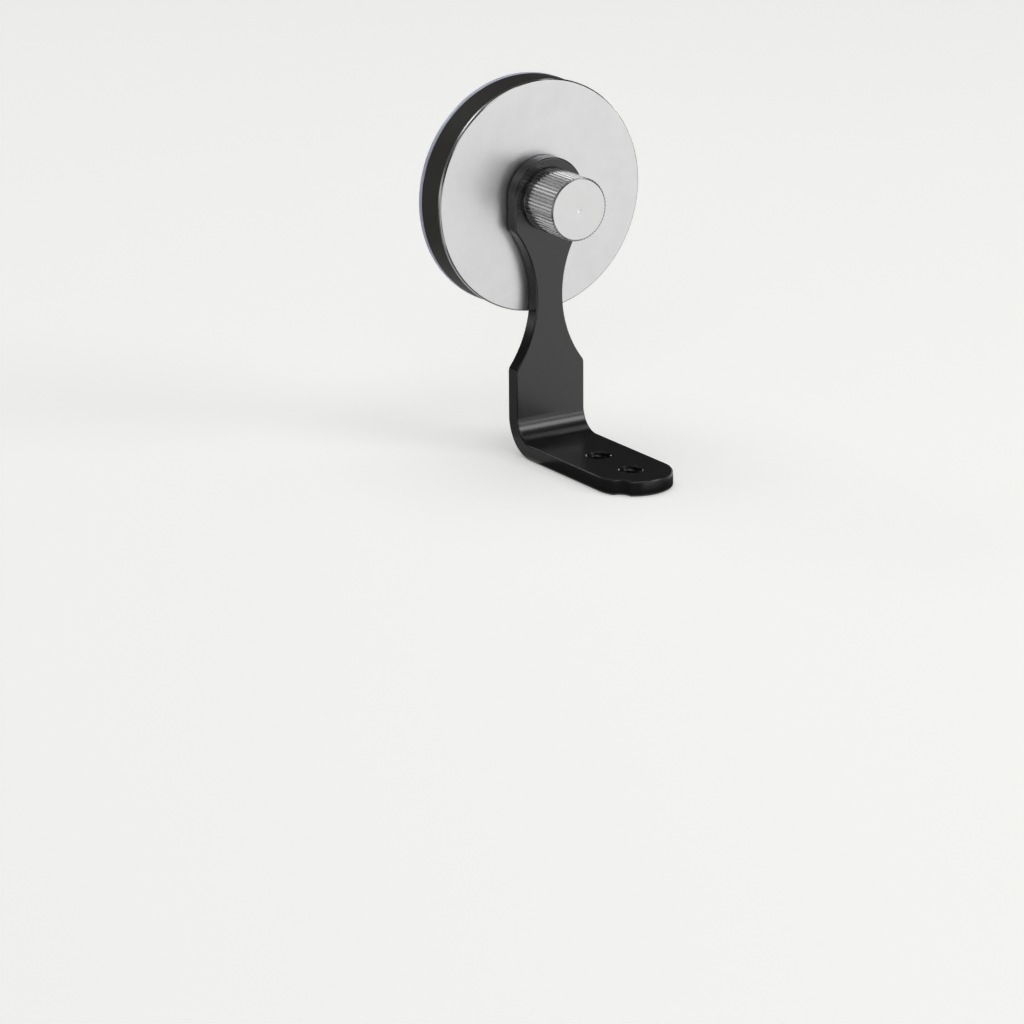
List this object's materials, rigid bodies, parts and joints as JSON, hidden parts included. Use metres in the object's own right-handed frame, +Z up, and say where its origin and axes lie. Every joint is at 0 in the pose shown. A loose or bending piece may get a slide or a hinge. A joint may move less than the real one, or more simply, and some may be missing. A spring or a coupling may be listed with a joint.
{
  "type": "tripod phone mount adapter",
  "caption": "L-shaped steel bracket for a tripod head that carries a swivelling round head with a sticky gel pad, clamped by a knurled thumb screw.",
  "frame": {"origin": "centre of the inner tripod hole on the underside of the bracket's foot", "axes": "+Z up, opposite to the way the tripod screw leaves; +Y from the foot's tip to the gel pad, along the swivel's axis; +X along the bend, to the right seen from the knob"},
  "size_m": [0.06, 0.0622, 0.096],
  "materials": {
    "black_coated_steel": "semi-gloss black powder coat on mild steel",
    "satin_nickel": "satin nickel plate, turned and knurled",
    "zinc_steel": "zinc-plated steel",
    "white_nylon": "natural nylon sheet",
    "anodised_aluminium": "fine blasted, silver anodised, bright bevel",
    "black_abs": "fine matt moulded black",
    "brass": "turned",
    "gel": "translucent pale lavender gel, sticky and glossy"
  },
  "bodies": {
    "bracket": {"bracket": "black_coated_steel"},
    "swivel_head": {"friction_washer": "white_nylon", "cover_plate": "anodised_aluminium", "housing": "black_abs", "threaded_insert": "brass", "gel_pad": "gel"},
    "washer": {"knob_washer": "zinc_steel"},
    "thumb_screw": {"knob": "satin_nickel", "clamp_screw": "zinc_steel"}
  },
  "joints": [
    {"name": "head_swivel", "type": "hinge", "parent": "bracket", "child": "swivel_head", "pos_m": [0, 0.0262, 0.066], "axis": [0, 1, 0], "continuous": true},
    {"name": "screw_travel", "type": "slide", "parent": "bracket", "child": "washer", "axis": [0, -1, 0], "range_m": [0, 0.005]},
    {"name": "screw_turn", "type": "hinge", "parent": "washer", "child": "thumb_screw", "pos_m": [0, 0.0262, 0.066], "axis": [0, -1, 0], "range_deg": [0, 1801]}
  ],
  "couplings": [
    {"joint": "screw_turn", "follows": "screw_travel", "rad_per_m": 6283.2}
  ]
}
